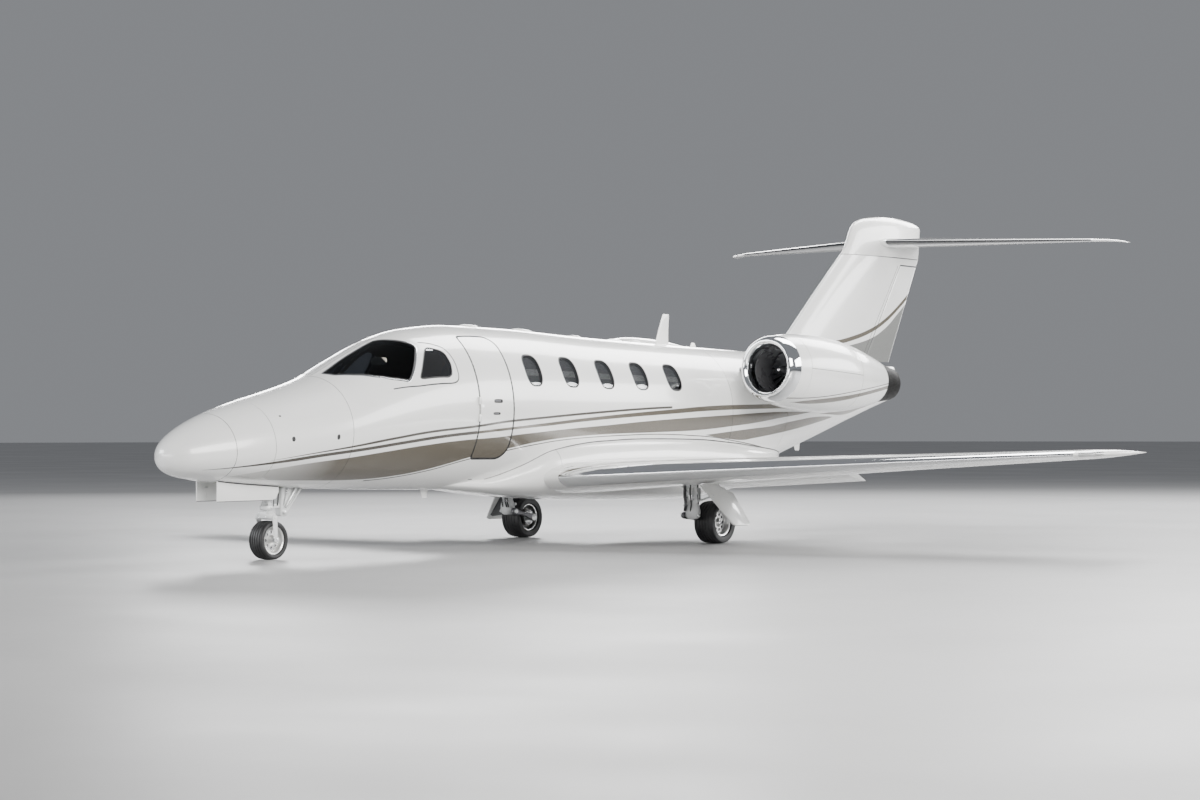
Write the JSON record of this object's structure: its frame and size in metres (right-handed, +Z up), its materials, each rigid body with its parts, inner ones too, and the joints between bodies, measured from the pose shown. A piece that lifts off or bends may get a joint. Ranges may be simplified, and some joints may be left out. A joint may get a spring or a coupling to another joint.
{
  "type": "twin-engined light business jet",
  "caption": "Light business jet with a T tail, engines on the rear fuselage, tapered low wings and a tricycle landing gear, parked with its cabin door shut.",
  "frame": {"origin": "on the ground under the middle of the overall length and span", "axes": "+X to the port wing tip, -Y to the nose, +Z up"},
  "size_m": [15.49, 16.26, 4.69],
  "materials": {
    "white_paint": "pearl white gloss paint with taupe stripes",
    "composite_paint": "gloss paint on composite panels",
    "polished_metal": "polished",
    "gear_metal": "satin light grey",
    "wheel_metal": "satin cast",
    "engine_metal": "heat-stained bare metal",
    "tyre_rubber": "matt black rubber",
    "tinted_glass": "lightly tinted, clear",
    "trim": "matt cabin trim",
    "seat_leather": "soft tan leather"
  },
  "bodies": {
    "airframe": {"belly_fairing": "composite_paint", "cabin_floor": "trim", "cabin_seats": "seat_leather", "cabin_shell": "white_paint", "cabin_windows_port": "tinted_glass", "cabin_windows_starboard": "tinted_glass", "cockpit_seats": "seat_leather", "dorsal_antenna": "white_paint", "engine_port": "engine_metal", "engine_starboard": "engine_metal", "fin": "white_paint", "fin_cap": "composite_paint", "flap_port": "white_paint", "flap_starboard": "white_paint", "inlet_lip_port": "polished_metal", "inlet_lip_starboard": "polished_metal", "instrument_panel": "trim", "main_arm_port": "gear_metal", "main_arm_starboard": "gear_metal", "main_gear_door_port": "white_paint", "main_gear_door_starboard": "white_paint", "main_leg_port": "gear_metal", "main_leg_starboard": "gear_metal", "nacelle_port": "composite_paint", "nacelle_starboard": "composite_paint", "nose_brace": "gear_metal", "nose_cone": "composite_paint", "nose_gear_door_port": "white_paint", "nose_gear_door_starboard": "white_paint", "nose_leg": "gear_metal", "nose_section": "white_paint", "nozzle_port": "engine_metal", "nozzle_starboard": "engine_metal", "pylon_port": "white_paint", "pylon_starboard": "white_paint", "side_window_port": "tinted_glass", "side_window_starboard": "tinted_glass", "tail_section": "white_paint", "tailplane": "white_paint", "windshield_port": "tinted_glass", "windshield_starboard": "tinted_glass", "wing_port": "white_paint", "wing_starboard": "white_paint"},
    "nose_fork": {"nose_fork": "gear_metal"},
    "nose_wheel": {"nose_wheel_rim": "wheel_metal", "nose_wheel_tyre": "tyre_rubber"},
    "main_wheel_port": {"main_wheel_port_rim": "wheel_metal", "main_wheel_port_tyre": "tyre_rubber"},
    "main_wheel_starboard": {"main_wheel_starboard_rim": "wheel_metal", "main_wheel_starboard_tyre": "tyre_rubber"},
    "fan_port": {"fan_port": "engine_metal"},
    "fan_starboard": {"fan_starboard": "engine_metal"},
    "cabin_door": {"cabin_door": "white_paint"},
    "rudder": {"rudder": "white_paint"},
    "elevator_port": {"elevator_port": "white_paint"},
    "elevator_starboard": {"elevator_starboard": "white_paint"},
    "aileron_port": {"aileron_port": "white_paint"},
    "aileron_starboard": {"aileron_starboard": "white_paint"}
  },
  "joints": [
    {"name": "nose_steering", "type": "hinge", "parent": "airframe", "child": "nose_fork", "pos_m": [0, -6.458, 0.5], "axis": [0, 0, 1], "range_deg": [-60, 60]},
    {"name": "nose_wheel_spin", "type": "hinge", "parent": "nose_fork", "child": "nose_wheel", "pos_m": [0, -6.425, 0.2285], "axis": [1, 0, 0], "continuous": true},
    {"name": "main_wheel_spin_port", "type": "hinge", "parent": "airframe", "child": "main_wheel_port", "pos_m": [1.63, 0.209, 0.28], "axis": [1, 0, 0], "continuous": true},
    {"name": "main_wheel_spin_starboard", "type": "hinge", "parent": "airframe", "child": "main_wheel_starboard", "pos_m": [-1.63, 0.209, 0.28], "axis": [1, 0, 0], "continuous": true},
    {"name": "fan_spin_port", "type": "hinge", "parent": "airframe", "child": "fan_port", "pos_m": [1.387, 1.731, 2.318], "axis": [0, 0.998, -0.0628], "continuous": true},
    {"name": "fan_spin_starboard", "type": "hinge", "parent": "airframe", "child": "fan_starboard", "pos_m": [-1.387, 1.731, 2.318], "axis": [0, 0.998, -0.0628], "continuous": true},
    {"name": "cabin_door_hinge", "type": "hinge", "parent": "airframe", "child": "cabin_door", "pos_m": [0.838, -3.585, 1.75], "axis": [0, 0, -1], "range_deg": [0, 100]},
    {"name": "rudder_hinge", "type": "hinge", "parent": "airframe", "child": "rudder", "pos_m": [0, 6.26348, 2.49], "axis": [0, 0.5822, 0.8131], "range_deg": [-25, 25]},
    {"name": "elevator_hinge_port", "type": "hinge", "parent": "airframe", "child": "elevator_port", "pos_m": [0.3, 7.53101, 4.30193], "axis": [0.9891, 0.1465, -0.0106], "range_deg": [-22, 18]},
    {"name": "elevator_hinge_starboard", "type": "hinge", "parent": "airframe", "child": "elevator_starboard", "pos_m": [-0.3, 7.53101, 4.30193], "axis": [0.9891, -0.1465, 0.0106], "range_deg": [-22, 18]},
    {"name": "aileron_hinge_port", "type": "hinge", "parent": "airframe", "child": "aileron_port", "pos_m": [4.6, 0.1267, 1.07692], "axis": [0.998, 0.0405, 0.0479], "range_deg": [-19, 19]},
    {"name": "aileron_hinge_starboard", "type": "hinge", "parent": "airframe", "child": "aileron_starboard", "pos_m": [-4.6, 0.1267, 1.07692], "axis": [0.998, -0.0405, -0.0479], "range_deg": [-19, 19]}
  ],
  "couplings": [
    {"joint": "elevator_hinge_starboard", "follows": "elevator_hinge_port", "ratio": 1},
    {"joint": "aileron_hinge_starboard", "follows": "aileron_hinge_port", "ratio": -1}
  ]
}
